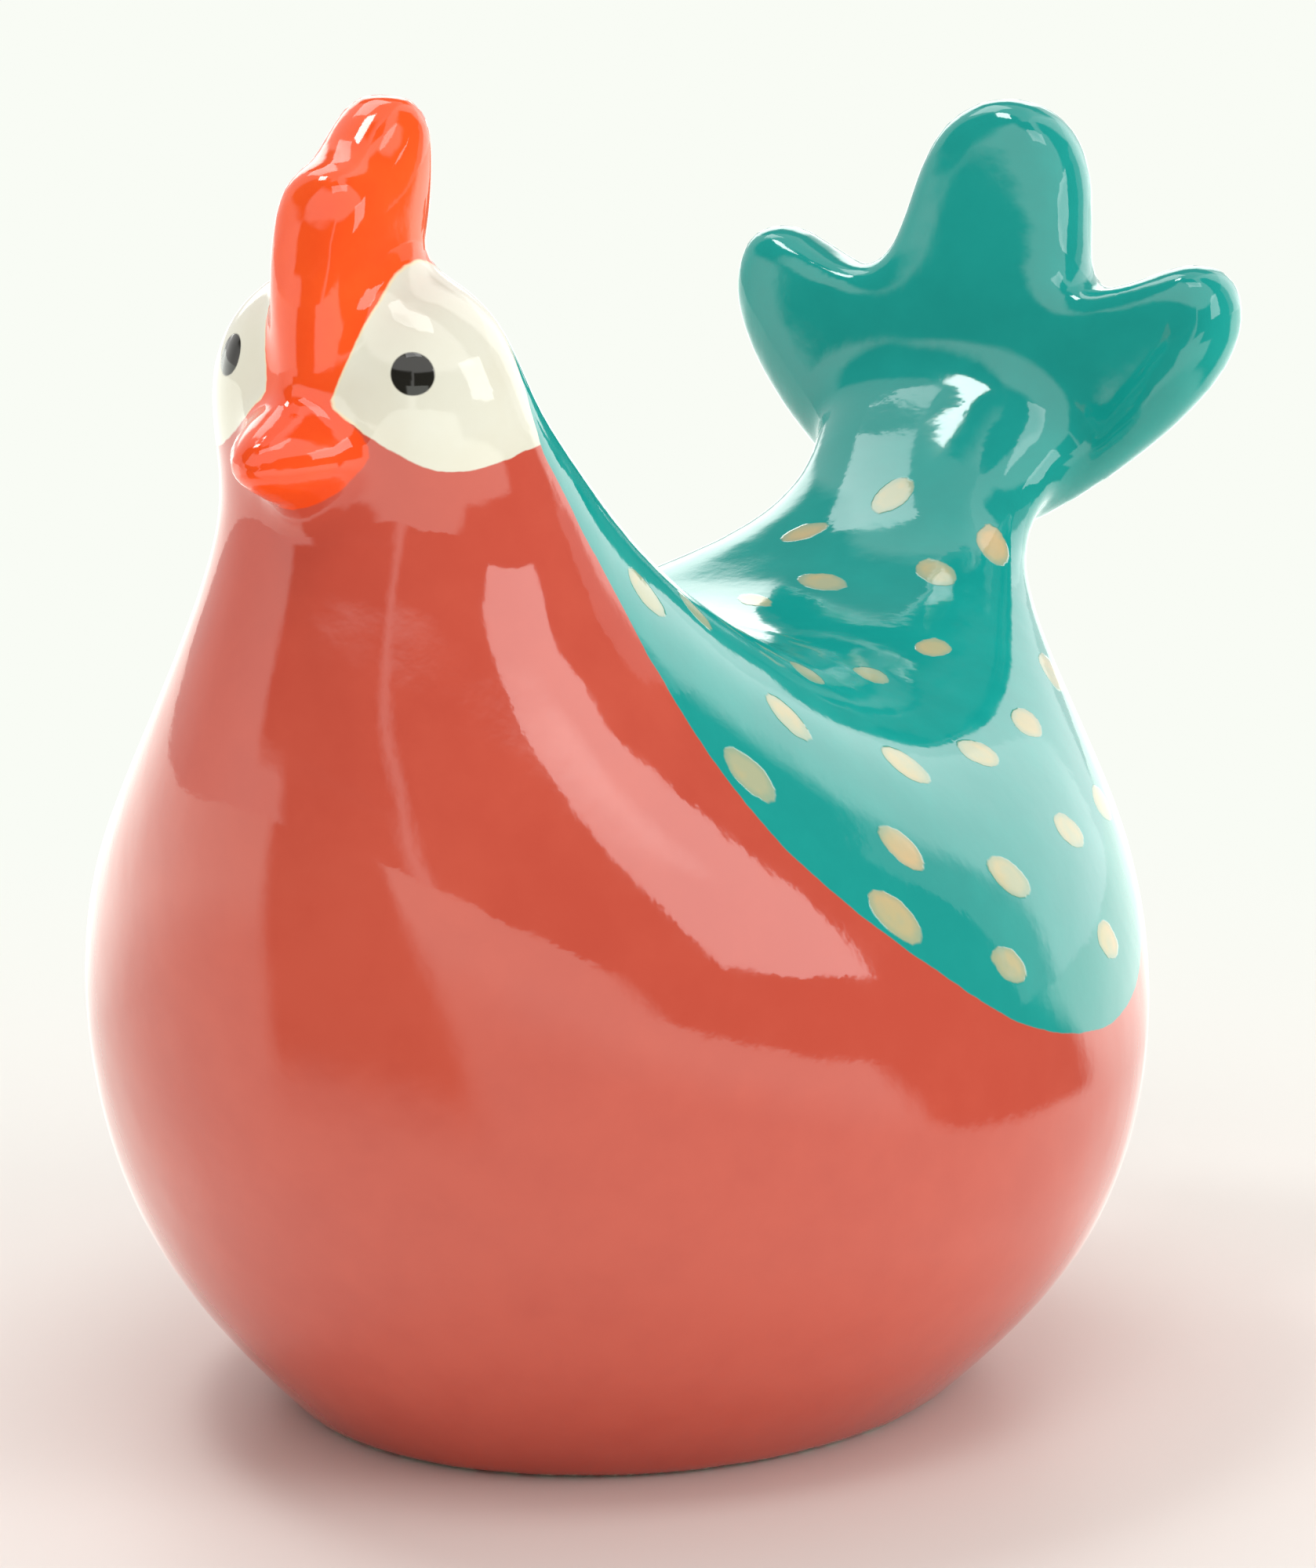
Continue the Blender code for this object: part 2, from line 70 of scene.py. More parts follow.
# Paints, in linear colour.
CORAL = (0.605, 0.092, 0.055, 1)
CORAL_DEEP = (0.555, 0.077, 0.046, 1)
TEAL = (0.009, 0.350, 0.310, 1)
TEAL_DEEP = (0.007, 0.305, 0.272, 1)
ORANGE = (0.980, 0.105, 0.013, 1)
ORANGE_DEEP = (0.900, 0.075, 0.010, 1)
CREAM = (0.775, 0.760, 0.655, 1)
CREAM_SHADE = (0.740, 0.710, 0.585, 1)
CREAM_RIM = (0.950, 0.760, 0.420, 1)
GOLD = (0.520, 0.460, 0.250, 1)
GOLD_THIN = (0.430, 0.455, 0.285, 1)
GOLD_WARM = (0.680, 0.460, 0.230, 1)
EYE_BLACK = (0.012, 0.011, 0.008, 1)
BISQUE = (0.620, 0.520, 0.410, 1)
BISQUE_DARK = (0.520, 0.420, 0.320, 1)

# Noise in paint and glaze: scale, detail, roughness.
NOISES = {
    "hand": (180, 2.0, 0.5),
    "fine hand": (700, 2.0, 0.5),
    "clouds": (34, 3.0, 0.55),
    "mottle": (260, 3.0, 0.6),
    "warmth": (110, 0.0, 0.5),
    "fine ripple": (800, 2.0, 0.5),
    "broad ripple": (130, 1.0, 0.5),
}
CLOUD_SHARE = 0.7
SHADE_RANGE = (0.36, 0.66)
GOLD_RANGE = (0.4, 0.62)
WARM_RANGE = (0.55, 0.75)
WARM_MOST = 0.8
# How far the hand strays along the fields' edges, and half the width of an edge, in mm.
FINE_HAND_SHARE = 0.35
FIELD_STRAY = 0.5
DAB_STRAY = 0.7
FIELD_EDGE = 0.07
SHORT_EDGE = 0.08
# Paint thins out towards a dab's edge, and the cream shows warm beside the orange.
THIN_WIDTH = 0.55
THIN_SHARE = 0.30
RIM_RANGE = (-0.22, -0.04)
RIM_SHARE = 0.6
CLAY_RANGE = (0.35, 0.65)
# Gloss.
GLAZE_IOR = 1.52
GLOSS_RANGE = (0.3, 0.7)
GLOSS_ROUGHNESS = (0.045, 0.085)
CLAY_ROUGHNESS = 0.6
FINE_RIPPLE = 0.010 * MM
BROAD_RIPPLE = 0.06 * MM
DAB_RISE = 0.03 * MM

# Studio. Backdrop and floor colours are linear; a level of 1 is white.
BACKDROP = (0.947, 0.973, 0.913, 1)
FLOOR = (0.82, 0.79, 0.755, 1)
FLOOR_RADIUS = 1.6
FLOOR_SIDES = 96
FLOOR_ROUGHNESS = 0.55
FLOOR_SPECULAR = 0.25
# Distances from the hen, in metres, over which the floor turns into the backdrop.
FLOOR_FADE = (0.05, 0.20)
# How bright the far floor stands in the gloss.
FLOOR_SHINE = 2.1
# What the hen's paint gets back from the floor near it, but for the floor under the hen.
FLOOR_GLOW = 0.4
FLOOR_GLOW_START = (0.030, 0.060)
FLOOR_BOUNCE = 1.6
# Soft light from all round, its brighter side by turn and rise, and its level far from it and at it.
FILL_COLOUR = (1.0, 0.99, 0.96, 1)
FILL_SIDE = (130, 20)
FILL_LEVELS = (0.55, 0.70)
# Dark parts of the floor in the gloss: limits of turn in degrees, distance in metres.
DARK_LEVEL = 0.15
DARK_SOFT = 5
DARK_FLOOR = {
    "doorway ahead": ((-23, 20), (0.066, 0.098)),
    "right corner": ((102, 146), (0.112, 0.138)),
    "foot of the right wall": ((66, 112), (0.27, 0.34)),
}
# The room in the gloss: limits of turn and rise, softness of the edge, level.
ROOM_LEVEL = 1.9
ROOM = {
    "left wall": ((-180, -60), (-90, 90), 25, 1.0),
    "front ceiling": ((-85, -37), (25, 80), 4, 0.15),
    "overhead": ((-40, 60), (64, 90), 5, 0.15),
    "right wall": ((37, 150), (-8, 26), 2.5, 0.15),
    "right corner": ((104, 150), (-30, 75), 4, 0.15),
    "doorway ahead": ((-19, 31), (-90, 12), 4, 0.15),
    "above the doorway": ((-37, 33), (9, 29), 3, 0.15),
    "back wall": ((-176, -122), (30, 48), 3, 0.2),
    "far window": ((-162, -122), (6, 28), 3, 3.6),
}
# Lamps: turn, rise, width and height in degrees, then level.
LAMP_DISTANCE = 0.9
SOFTBOXES = {
    "window_behind": (162, 14, 48, 32, 0.6),
    "window_side": (99, 20, 26, 24, 4.0),
    "lamp_overhead": (-80, 68, 10, 10, 16.0),
    "ceiling": (45, 70, 30, 14, 3.6),
    "left_ceiling": (-120, 54, 22, 20, 3.1),
}

# Border of the back colour in the side plane: nape, flank, low point, rump, (y, z) in mm.
BACK_BORDER = [
    (-29.0, 110.0), (-30.3, 94.0), (-32.4, 90.5), (-33.6, 87.5), (-33.9, 84.0), (-33.2, 79.6),
    (-30.3, 75.3), (-28.0, 70.5), (-27.0, 66.6), (-26.9, 63.2), (-26.5, 57.8), (-25.1, 52.7),
    (-23.1, 48.6), (-20.0, 44.8), (-16.1, 41.2), (-10.9, 37.3), (-6.4, 34.5), (-0.7, 32.4),
    (6.8, 31.2), (13.3, 31.6), (18.1, 33.2), (25.0, 37.5), (33.0, 44.0), (41.0, 49.5), (48.0, 53.5),
    (75.0, 66.0),
]
# Lower edge of the white face, (y, z) in mm, from the beak to the back colour.
FACE_BORDER = [
    (-60.0, 83.5), (-47.0, 83.0), (-44.7, 81.7), (-43.7, 80.6), (-42.5, 79.5), (-41.2, 78.9),
    (-39.6, 78.9), (-37.6, 79.3), (-35.4, 79.8), (-33.2, 79.9), (-20.0, 80.6),
]
# The orange of comb and forehead, in mm: half width at each height, rear and lowest point.
COMB_HEIGHTS = (81.0, 84.5, 86.6, 88.1, 89.6, 91.0)
COMB_HALF_WIDTHS = (2.6, 2.8, 3.3, 3.8, 4.1, 4.4)
COMB_REAR = -30.8
COMB_REAR_ROUNDING = 4.5
COMB_LOW = 80.9
# Beak: where its root meets the face, in mm.
BEAK_CENTRE = (0.0, 80.5)
BEAK_HALF_WIDTH = 5.4
BEAK_HALF_HEIGHT = 4.3
BEAK_REAR = -41.5
BEAK_SQUARENESS = 1.6
EYE = Vector((7.75, -42.55, 86.0)) * MM
EYE_RADIUS = 1.55 * MM
EYE_EDGE = 0.08 * MM
EYE_STRAY = 0.35 * MM
EYE_BULGE = 0.22 * MM

# Brush dabs: place, length, width in mm and slant from level in degrees.
DABS = [
    (1.5, 39.0, 62.5, 4.6, 3.0, 78), (-4.0, 34.0, 60.0, 3.8, 2.6, 55), (2.0, 26.0, 58.0, 4.4, 2.8, -20),
    (9.5, 31.0, 58.5, 4.8, 2.9, -70), (11.0, 38.0, 59.5, 4.8, 2.7, 58), (-1.0, 21.0, 57.0, 4.4, 2.2, -16),
    (15.0, -15.5, 64.5, 4.4, 2.8, 60), (15.0, -22.5, 67.5, 4.6, 2.8, -73),
    (18.0, -4.0, 58.5, 4.8, 2.9, -10), (16.5, 8.0, 55.5, 4.8, 2.8, 10),
    (16.5, 19.0, 56.0, 4.2, 2.8, 50), (20.5, 29.0, 52.5, 5.2, 3.0, 20),
    (25.5, 16.5, 51.5, 4.6, 2.9, 5), (27.5, 5.5, 51.5, 4.4, 3.0, -20),
    (27.0, -5.0, 52.5, 4.8, 3.1, -55), (23.0, -15.0, 57.5, 4.7, 2.8, -80),
    (24.5, -23.5, 55.5, 5.2, 2.8, -61), (31.0, -12.5, 48.5, 5.0, 2.6, -54),
    (34.5, -2.0, 44.0, 5.0, 2.9, -36), (32.5, 10.0, 45.0, 4.4, 3.0, -25),
    (29.5, 21.5, 44.5, 4.8, 3.0, -10), (32.5, -17.0, 44.5, 5.6, 2.8, -49),
    (36.5, -6.5, 38.5, 4.8, 2.7, -33), (36.0, 10.0, 36.5, 4.4, 2.9, -25),
    (24.0, 36.0, 47.5, 4.6, 2.8, 30), (8.5, 47.5, 56.0, 4.4, 2.7, 60), (-8.0, 47.0, 56.5, 4.4, 2.7, -50),
]
# Outline of a dab: powers that make it pointed lengthwise and round across.
DAB_POINT = 1.7
DAB_ROUND = 2.0
# What a point far from every dab counts as, in mm inside one.
NO_DAB = -3.0
# The far flank repeats the near flank's dabs, set back a little, in mm.
FLANK_FROM = 12.0
FLANK_SETBACK = 2.0


# Casting

def make_active(item):
    bpy.ops.object.select_all(action="DESELECT")
    item.select_set(True)
    bpy.context.view_layer.objects.active = item


def finish_modifiers(item):
    make_active(item)
    for modifier in list(item.modifiers):
        bpy.ops.object.modifier_apply(modifier=modifier.name)


def soften_join(hen):
    """Lets the tail stalk flow into the fan without a shoulder."""
    near = hen.vertex_groups.new(name="join")
    for vertex in hen.data.vertices:
        gap = (vertex.co - JOIN).length
        if gap < JOIN_REACH:
            weight = min((JOIN_REACH - gap) / (JOIN_REACH - JOIN_CORE), 1)
            near.add([vertex.index], weight, "REPLACE")
    flow = hen.modifiers.new("Flow", "SMOOTH")
    flow.factor = JOIN_FLOW
    flow.iterations = JOIN_STEPS
    flow.vertex_group = near.name
    finish_modifiers(hen)
    hen.vertex_groups.clear()


def outer_faces(mesh):
    """Indices of the faces on the outside, reached from the topmost one without crossing the foot."""
    points = np.empty(len(mesh.vertices) * 3)
    mesh.vertices.foreach_get("co", points)
    heights = points.reshape(-1, 3)[:, 2]
    corners = [tuple(face.vertices) for face in mesh.polygons]
    at_vertex = [[] for _ in heights]
    for index, face in enumerate(corners):
        for vertex in face:
            at_vertex[vertex].append(index)
    underside = {index for index, face in enumerate(corners)
                 if max(heights[list(face)]) < FOOT_FLATNESS}
    start = max(range(len(corners)), key=lambda index: heights[list(corners[index])].sum())
    found = {start}
    waiting = [start]
    while waiting:
        for vertex in corners[waiting.pop()]:
            for neighbour in at_vertex[vertex]:
                if neighbour not in found and neighbour not in underside:
                    found.add(neighbour)
                    waiting.append(neighbour)
    return found


def fine_casting():
    """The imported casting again, remeshed finely and with its facets smoothed away."""
    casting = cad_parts["hen"]
    hen = bpy.data.objects.new("glazed_hen", casting.data.copy())
    hen.data.name = "glazed_hen"
    bpy.context.collection.objects.link(hen)
    make_active(hen)
    bpy.ops.object.mode_set(mode="EDIT")
    bpy.ops.mesh.select_all(action="SELECT")
    bpy.ops.mesh.remove_doubles(threshold=MERGE_GAP)
    bpy.ops.mesh.normals_make_consistent(inside=False)
    bpy.ops.object.mode_set(mode="OBJECT")
    outside = outer_faces(hen.data)
    coarse = BVHTree.FromPolygons([vertex.co.copy() for vertex in hen.data.vertices],
                                  [tuple(face.vertices) for face in hen.data.polygons])
    rounder = hen.modifiers.new("Round facets", "SUBSURF")
    rounder.levels = 1
    rounder.render_levels = 1
    even = hen.modifiers.new("Even mesh", "REMESH")
    even.mode = "VOXEL"
    even.voxel_size = SKIN_VOXEL
    finish_modifiers(hen)
    for _ in range(SMOOTHING_ROUNDS):
        for name, factor in (("Draw in", DRAW_IN), ("Let out", LET_OUT)):
            smoother = hen.modifiers.new(name, "SMOOTH")
            smoother.factor = factor
            smoother.iterations = SMOOTHING_STEPS
        finish_modifiers(hen)
    soften_join(hen)
    make_active(hen)
    bpy.ops.object.shade_smooth()
    bare = np.zeros(len(hen.data.vertices), np.float32)
    for vertex in hen.data.vertices:
        bare[vertex.index] = 0.0 if coarse.find_nearest(vertex.co)[2] in outside else 1.0
    give(hen, "bare", bare)
    return hen


# Painted fields

def give(piece, name, values):
    """Stores one value for each point of the piece, for its material to read."""
    attribute = piece.data.attributes.new(name, "FLOAT", "POINT")
    attribute.data.foreach_set("value", np.asarray(values, np.float32))


def smooth_line(corners, steps=6):
    """A flowing line through its corners."""
    corners = np.array(corners, float)
    padded = np.vstack([2 * corners[0] - corners[1], corners, 2 * corners[-1] - corners[-2]])
    line = []
    for index in range(1, len(padded) - 2):
        before, start, end, after = padded[index - 1:index + 3]
        for step in range(steps):
            t = step / steps
            line.append(0.5 * (2 * start + (end - before) * t
                               + (2 * before - 5 * start + 4 * end - after) * t ** 2
                               + (3 * start - before - 3 * end + after) * t ** 3))
    line.append(corners[-1])
    return np.array(line)


def distance_to_line(places, line):
    """Distance of each place to a line of points, and on which side of it: + is on the left."""
    nearest = np.full(len(places), np.inf)
    side = np.zeros(len(places))
    for start, end in zip(line[:-1], line[1:]):
        along = end - start
        offset = places - start
        share = np.clip(offset @ along / (along @ along), 0, 1)
        gap = np.linalg.norm(offset - share[:, None] * along, axis=1)
        turn = along[0] * offset[:, 1] - along[1] * offset[:, 0]
        closer = gap < nearest
        nearest[closer] = gap[closer]
        side[closer] = np.sign(turn[closer])
    return nearest * side


def paint_fields(hen):
    """How far inside each painted field every point of the surface lies, in mm."""
    count = len(hen.data.vertices)
    points = np.empty(count * 3)
    hen.data.vertices.foreach_get("co", points)
    points = points.reshape(-1, 3) / MM
    normals = np.empty(count * 3)
    hen.data.vertices.foreach_get("normal", normals)
    normals = normals.reshape(-1, 3)
    side_view = points[:, 1:]

    give(hen, "back", distance_to_line(side_view, smooth_line(BACK_BORDER)))
    give(hen, "face", distance_to_line(side_view, smooth_line(FACE_BORDER)))

    half_width = np.interp(points[:, 2], COMB_HEIGHTS, COMB_HALF_WIDTHS)
    to_rear = COMB_REAR - points[:, 1]
    share = np.clip(to_rear / COMB_REAR_ROUNDING, 0, 1)
    half_width = half_width * np.sqrt(share * (2 - share))
    in_comb = np.minimum(half_width - np.abs(points[:, 0]), to_rear)
    in_comb = np.minimum(in_comb, points[:, 2] - COMB_LOW)
    across = np.abs(points[:, 0]) / BEAK_HALF_WIDTH
    upward = np.abs(points[:, 2] - BEAK_CENTRE[1]) / BEAK_HALF_HEIGHT
    spread = (across ** BEAK_SQUARENESS + upward ** BEAK_SQUARENESS) ** (1 / BEAK_SQUARENESS)
    in_beak = np.minimum((1 - spread) * BEAK_HALF_HEIGHT, BEAK_REAR - points[:, 1])
    give(hen, "comb", np.maximum(in_comb, in_beak))

    dabs = np.full(count, NO_DAB)
    far_flank = [(-x, y + FLANK_SETBACK, z, length, width, -slant)
                 for x, y, z, length, width, slant in DABS if x > FLANK_FROM]
    for x, y, z, length, width, slant in DABS + far_flank:
        offset = points - np.array((x, y, z))
        near = np.nonzero(np.linalg.norm(offset, axis=1) < length)[0]
        if len(near) == 0:
            continue
        centre = near[np.argmin(np.linalg.norm(offset[near], axis=1))]
        normal = normals[centre]
        level = np.cross((0, 0, 1), normal)
        level /= np.linalg.norm(level)
        upright = np.cross(normal, level)
        turn = math.radians(slant)
        lengthwise = level * math.cos(turn) + upright * math.sin(turn)
        sideways = np.cross(normal, lengthwise)
        offset = points[near] - points[centre]
        u = np.abs(offset @ lengthwise) / (length / 2)
        v = np.abs(offset @ sideways) / (width / 2)
        inside = (1 - np.sqrt(u ** DAB_POINT + v ** DAB_ROUND)) * width / 2
        dabs[near] = np.maximum(dabs[near], inside)
    give(hen, "dab", dabs)


# Glaze

class Recipe:
    """Adds nodes to a material or a world."""

    def __init__(self, owner):
        owner.use_nodes = True
        self.owner = owner
        self.nodes = owner.node_tree.nodes
        self.links = owner.node_tree.links
        self.shader = self.nodes.get("Principled BSDF")

    def add(self, kind, values=(), **settings):
        node = self.nodes.new(kind)
        for name, value in settings.items():
            setattr(node, name, value)
        for socket, value in values:
            if isinstance(value, bpy.types.NodeSocket):
                self.links.new(value, node.inputs[socket])
            else:
                node.inputs[socket].default_value = value
        return node

    def math(self, operation, first, second):
        node = self.add("ShaderNodeMath", ((0, first), (1, second)), operation=operation)
        return node.outputs[0]

    def noise(self, place, name):
        scale, detail, roughness = NOISES[name]
        node = self.add("ShaderNodeTexNoise", (("Vector", place), ("Scale", scale),
                                               ("Detail", detail), ("Roughness", roughness)))
        return node.outputs["Fac"]

    def span(self, value, low, high, to_low=0.0, to_high=1.0):
        """Runs smoothly from to_low to to_high while the value goes from low to high."""
        node = self.add("ShaderNodeMapRange",
                        (("Value", value), ("From Min", low), ("From Max", high),
                         ("To Min", to_low), ("To Max", to_high)),
                        interpolation_type="SMOOTHSTEP")
        return node.outputs["Result"]

    def blend(self, share, first, second):
        node = self.add("ShaderNodeMix", ((0, share), (6, first), (7, second)), data_type="RGBA")
        return node.outputs[2]


def painted_glaze():
    """Clear gloss glaze over brushed paint fields, bare clay under the foot."""
    glaze = Recipe(bpy.data.materials.new("coral_glaze"))
    place = glaze.add("ShaderNodeTexCoord").outputs["Object"]
    field = {name: glaze.add("ShaderNodeAttribute", attribute_name=name).outputs["Fac"]
             for name in ("back", "face", "comb", "dab", "bare")}
    hand = glaze.math("SUBTRACT", glaze.noise(place, "hand"), 0.5)
    fine_hand = glaze.math("SUBTRACT", glaze.noise(place, "fine hand"), 0.5)
    clouds = glaze.noise(place, "clouds")
    mottle = glaze.noise(place, "mottle")

    def edge(name, stray, half_width):
        """Depth inside a field whose edge the hand strayed along, and the share of its paint."""
        wander = glaze.math("ADD", glaze.math("MULTIPLY", hand, stray),
                            glaze.math("MULTIPLY", fine_hand, stray * FINE_HAND_SHARE))
        depth = glaze.math("ADD", field[name], wander)
        return depth, glaze.span(depth, -half_width, half_width)

    unevenness = glaze.math("ADD", glaze.math("MULTIPLY", clouds, CLOUD_SHARE),
                            glaze.math("MULTIPLY", mottle, 1 - CLOUD_SHARE))
    shade = glaze.span(unevenness, *SHADE_RANGE)
    coral = glaze.blend(shade, CORAL_DEEP, CORAL)
    teal = glaze.blend(shade, TEAL_DEEP, TEAL)
    orange = glaze.blend(shade, ORANGE_DEEP, ORANGE)
    cream = glaze.blend(shade, CREAM_SHADE, CREAM)
    gold = glaze.blend(glaze.span(mottle, *GOLD_RANGE), GOLD_THIN, GOLD)
    warmth = glaze.span(glaze.noise(place, "warmth"), *WARM_RANGE, 0.0, WARM_MOST)
    gold = glaze.blend(warmth, gold, GOLD_WARM)

    _, on_back = edge("back", FIELD_STRAY, FIELD_EDGE)
    _, on_face = edge("face", FIELD_STRAY, FIELD_EDGE)
    comb_depth, on_comb = edge("comb", FIELD_STRAY, SHORT_EDGE)
    dab_depth, on_dab = edge("dab", DAB_STRAY, SHORT_EDGE)

    thin = glaze.blend(glaze.span(dab_depth, 0.0, THIN_WIDTH, THIN_SHARE, 0.0), gold, TEAL)
    back = glaze.blend(on_dab, teal, thin)
    head = glaze.blend(on_back, cream, back)
    body = glaze.blend(on_back, coral, back)
    colour = glaze.blend(on_face, body, head)
    rim = glaze.math("MULTIPLY", glaze.span(comb_depth, *RIM_RANGE, 0.0, RIM_SHARE), on_face)
    colour = glaze.blend(rim, colour, CREAM_RIM)
    colour = glaze.blend(on_comb, colour, orange)

    mirrored = glaze.add("ShaderNodeVectorMath", ((0, place),), operation="ABSOLUTE").outputs[0]
    eye = glaze.add("ShaderNodeVectorMath", ((0, mirrored), (1, (EYE.x, -EYE.y, EYE.z))),
                    operation="DISTANCE").outputs["Value"]
    eye = glaze.math("ADD", eye, glaze.math("MULTIPLY", hand, EYE_STRAY))
    on_eye = glaze.span(eye, EYE_RADIUS - EYE_EDGE, EYE_RADIUS + EYE_EDGE, 1.0, 0.0)
    colour = glaze.blend(on_eye, colour, EYE_BLACK)

    clay = glaze.blend(mottle, BISQUE, BISQUE_DARK)
    on_clay = glaze.span(field["bare"], *CLAY_RANGE)
    colour = glaze.blend(on_clay, colour, clay)
    glaze.links.new(colour, glaze.shader.inputs["Base Color"])

    roughness = glaze.span(mottle, *GLOSS_RANGE, *GLOSS_ROUGHNESS)
    roughness = glaze.math("ADD", roughness, glaze.math("MULTIPLY", on_clay, CLAY_ROUGHNESS))
    glaze.links.new(roughness, glaze.shader.inputs["Roughness"])
    glaze.shader.inputs["IOR"].default_value = GLAZE_IOR

    fine_ripple = glaze.math("MULTIPLY", glaze.noise(place, "fine ripple"), FINE_RIPPLE)
    broad_ripple = glaze.math("MULTIPLY", glaze.noise(place, "broad ripple"), BROAD_RIPPLE)
    ripple = glaze.math("ADD", fine_ripple, broad_ripple)
    off_centre = glaze.math("POWER", glaze.math("DIVIDE", eye, EYE_RADIUS), 2.0)
    dome = glaze.math("ADD", glaze.math("MULTIPLY", off_centre, -EYE_BULGE), EYE_BULGE)
    dome = glaze.math("MULTIPLY", dome, on_eye)
    brush = glaze.math("ADD", glaze.math("MULTIPLY", on_dab, DAB_RISE), dome)
    height = glaze.math("ADD", ripple, brush)
    bump = glaze.add("ShaderNodeBump", (("Strength", 1.0), ("Distance", 1.0), ("Height", height)))
    glaze.links.new(bump.outputs["Normal"], glaze.shader.inputs["Normal"])
    return glaze.owner


# Studio

def direction(turn, rise):
    """Unit vector seen from the hen: turn 0 is ahead of it, + towards its left side."""
    turn = math.radians(turn)
    rise = math.radians(rise)
    return Vector((math.sin(turn) * math.cos(rise), -math.cos(turn) * math.cos(rise), math.sin(rise)))


def softbox(name, turn, rise, width, height, glow):
    """A rectangular lamp that faces the hen; width and height in degrees as the hen sees it."""
    data = bpy.data.lights.new(name, "AREA")
    data.shape = "RECTANGLE"
    data.size = 2 * LAMP_DISTANCE * math.tan(math.radians(width / 2))
    data.size_y = 2 * LAMP_DISTANCE * math.tan(math.radians(height / 2))
    data.energy = glow * math.pi * data.size * data.size_y
    lamp = bpy.data.objects.new(name, data)
    toward = direction(turn, rise)
    lamp.location = toward * LAMP_DISTANCE + Vector((0, 0, AIM_HEIGHT))
    lamp.rotation_euler = toward.to_track_quat("Z", "Y").to_euler()
    lamp.visible_camera = False
    bpy.context.collection.objects.link(lamp)


def lamps():
    for name, lamp in SOFTBOXES.items():
        softbox(name, *lamp)


def patch(recipe, limits, soft):
    """1 inside a patch of the room and 0 outside it; each angle with its limits in degrees."""
    inside = 1.0
    edge = math.radians(soft)
    for angle, (low, high) in limits:
        low, high = math.radians(low), math.radians(high)
        entering = recipe.span(angle, low - edge, low + edge)
        leaving = recipe.span(angle, high - edge, high + edge, 1.0, 0.0)
        inside = recipe.math("MULTIPLY", inside, recipe.math("MULTIPLY", entering, leaving))
    return inside


def turn_and_rise(recipe, vector):
    """The two angles of a direction, in radians, as direction() takes them in degrees."""
    parts = recipe.add("ShaderNodeSeparateXYZ", (("Vector", vector),)).outputs
    ahead = recipe.math("MULTIPLY", parts["Y"], -1.0)
    turn = recipe.math("ARCTAN2", parts["X"], ahead)
    across = recipe.add("ShaderNodeVectorMath", ((0, vector), (1, (1, 1, 0))), operation="MULTIPLY")
    level = recipe.add("ShaderNodeVectorMath", ((0, across.outputs[0]),), operation="LENGTH")
    rise = recipe.math("ARCTAN2", parts["Z"], level.outputs["Value"])
    return turn, rise


def surroundings():
    """White to the camera, soft light from all round, and the room's bright and dark parts in the gloss."""
    world = bpy.data.worlds.new("studio")
    bpy.context.scene.world = world
    room = Recipe(world)
    facing = room.add("ShaderNodeTexCoord").outputs["Generated"]
    turn, rise = turn_and_rise(room, facing)
    level = ROOM_LEVEL
    for turns, rises, soft, patch_level in ROOM.values():
        inside = patch(room, ((turn, turns), (rise, rises)), soft)
        level = room.add("ShaderNodeMix", ((0, inside), (2, level), (3, patch_level))).outputs[0]
    toward = room.add("ShaderNodeVectorMath", ((0, facing), (1, direction(*FILL_SIDE))),
                      operation="DOT_PRODUCT").outputs["Value"]
    fill = room.span(toward, -1.0, 1.0, *FILL_LEVELS)
    path = room.add("ShaderNodeLightPath")
    strength = room.add("ShaderNodeMix", ((0, path.outputs["Is Glossy Ray"]), (2, fill), (3, level)))
    light = room.add("ShaderNodeBackground", (("Color", FILL_COLOUR), ("Strength", strength.outputs[0])))
    seen = room.add("ShaderNodeBackground", (("Color", BACKDROP),))
    both = room.add("ShaderNodeMixShader", ((0, path.outputs["Is Camera Ray"]),
                                            (1, light.outputs[0]), (2, seen.outputs[0])))
    room.links.new(both.outputs[0], room.nodes["World Output"].inputs["Surface"])


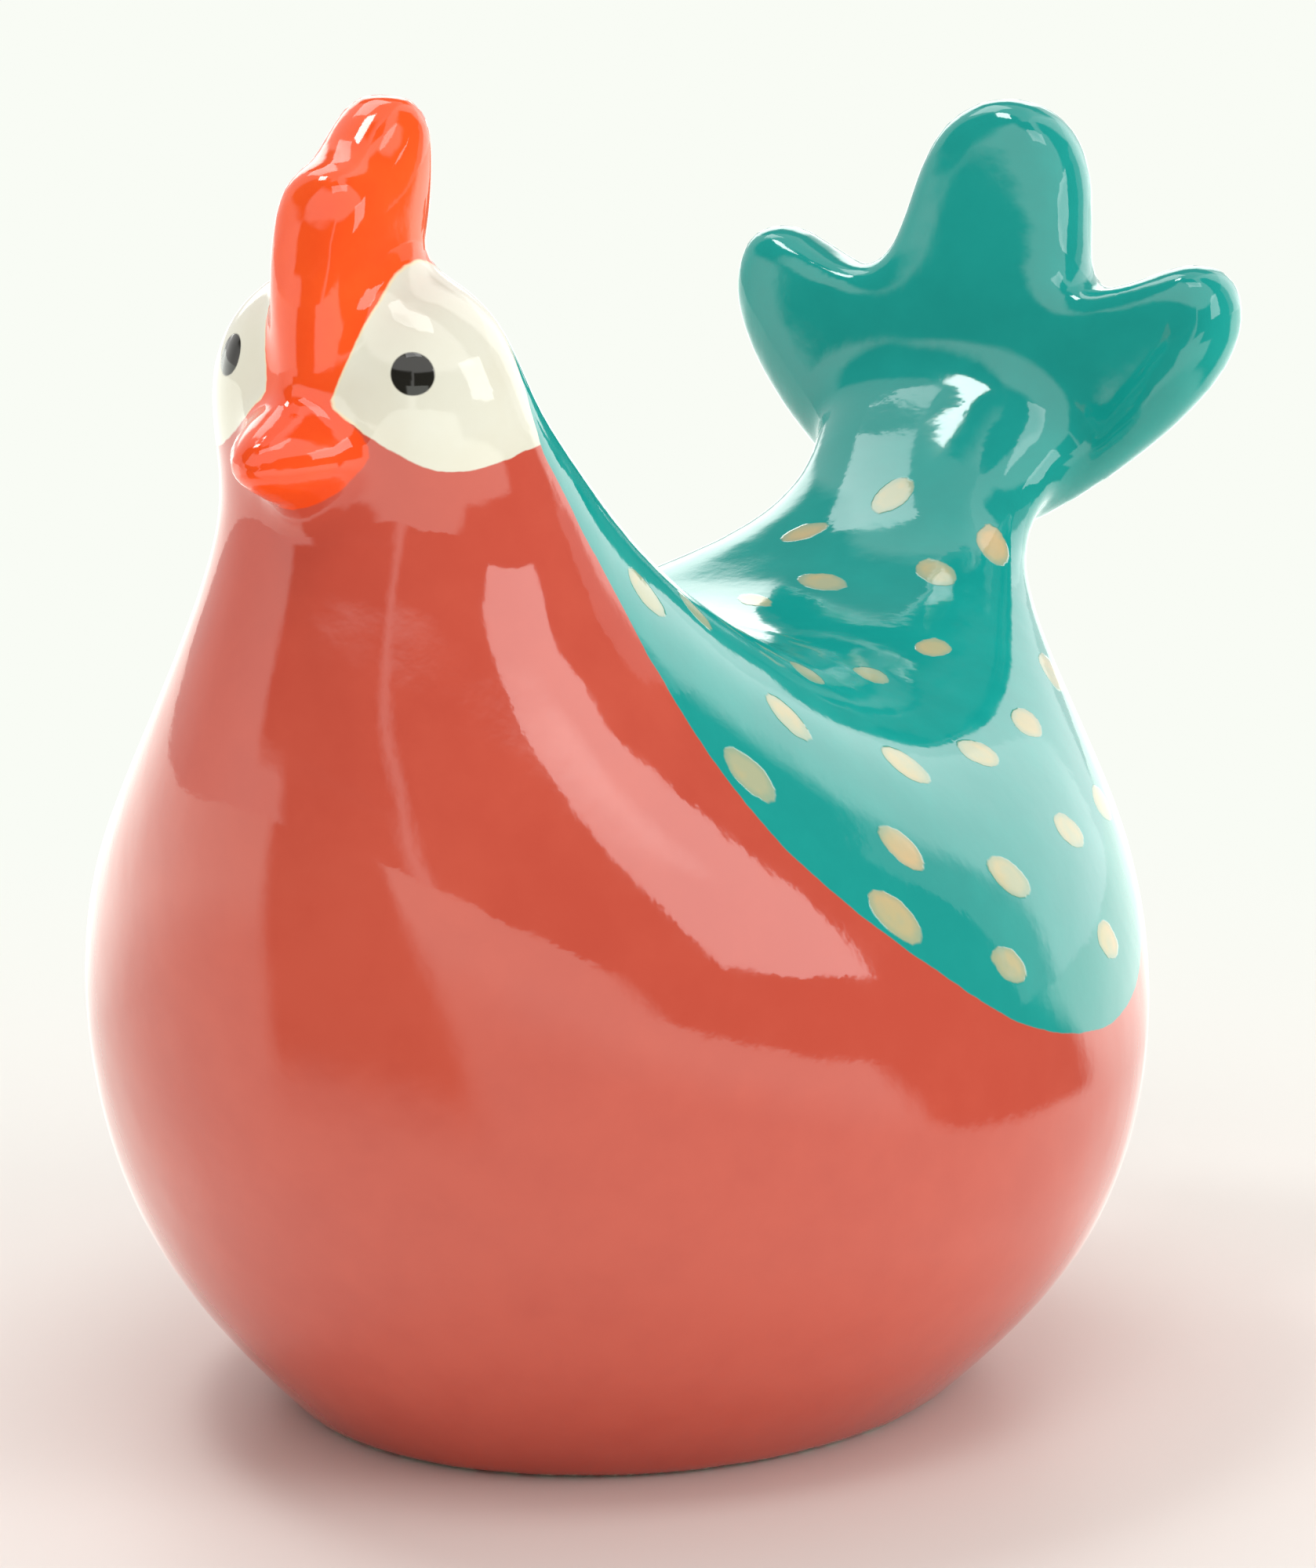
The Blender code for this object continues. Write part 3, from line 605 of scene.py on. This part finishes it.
def pale_floor():
    """Pale paper that takes the hen's shadow and turns into the backdrop further off."""
    bpy.ops.mesh.primitive_circle_add(vertices=FLOOR_SIDES, radius=FLOOR_RADIUS, fill_type="NGON",
                                      location=(0, 0, 0))
    floor = bpy.context.active_object
    floor.name = "floor"
    paper = Recipe(bpy.data.materials.new("floor_paper"))
    place = paper.add("ShaderNodeTexCoord").outputs["Object"]
    away = paper.add("ShaderNodeVectorMath", ((0, place),), operation="LENGTH").outputs["Value"]
    turn, _ = turn_and_rise(paper, place)
    paper.shader.inputs["Base Color"].default_value = FLOOR
    paper.shader.inputs["Roughness"].default_value = FLOOR_ROUGHNESS
    paper.shader.inputs["Specular IOR Level"].default_value = FLOOR_SPECULAR
    path = paper.add("ShaderNodeLightPath").outputs
    glossy = path["Is Glossy Ray"]
    scattered = path["Is Diffuse Ray"]
    bounced = paper.math("MAXIMUM", glossy, scattered)
    dark = 0.0
    for turns, fade in DARK_FLOOR.values():
        inside = patch(paper, ((turn, turns),), DARK_SOFT)
        dark = paper.math("MAXIMUM", dark, paper.math("MULTIPLY", inside, paper.span(away, *fade)))
    dark = paper.math("MULTIPLY", dark, glossy)
    share = paper.math("MAXIMUM", paper.span(away, *FLOOR_FADE), dark)
    near_glow = paper.span(away, *FLOOR_GLOW_START, 0.0, FLOOR_GLOW)
    share = paper.math("MAXIMUM", share, paper.math("MULTIPLY", bounced, near_glow))
    shine = paper.span(dark, 0.0, 1.0, FLOOR_SHINE, DARK_LEVEL)
    plain = paper.span(scattered, 0.0, 1.0, 1.0, FLOOR_BOUNCE)
    strength = paper.add("ShaderNodeMix", ((0, glossy), (2, plain), (3, shine)))
    glow = paper.add("ShaderNodeEmission", (("Color", BACKDROP), ("Strength", strength.outputs[0])))
    mix = paper.add("ShaderNodeMixShader", ((0, share), (1, paper.shader.outputs[0]),
                                            (2, glow.outputs[0])))
    paper.links.new(mix.outputs[0], paper.nodes["Material Output"].inputs["Surface"])
    floor.data.materials.append(paper.owner)


def camera():
    """The photograph's viewpoint and framing."""
    data = bpy.data.cameras.new("camera")
    data.sensor_width = SENSOR
    data.lens = SENSOR * PIXELS_PER_MM * (CAMERA_DISTANCE / MM) / PICTURE_HEIGHT
    data.shift_x = (PICTURE_WIDTH / 2 - AIM_ACROSS) / PICTURE_HEIGHT
    data.shift_y = (AIM_DOWN - PICTURE_HEIGHT / 2) / PICTURE_HEIGHT
    item = bpy.data.objects.new("camera", data)
    toward = direction(math.degrees(CAMERA_TURN), math.degrees(CAMERA_RISE))
    item.location = toward * CAMERA_DISTANCE + Vector((0, 0, AIM_HEIGHT))
    item.rotation_euler = toward.to_track_quat("Z", "Y").to_euler()
    bpy.context.collection.objects.link(item)
    bpy.context.scene.camera = item


def main():
    bpy.context.scene.view_settings.view_transform = "Standard"
    camera()
    surroundings()
    lamps()
    pale_floor()
    hen = fine_casting()
    paint_fields(hen)
    hen.data.materials.clear()
    hen.data.materials.append(painted_glaze())
    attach(hen, "root")
    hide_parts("hen")


main()
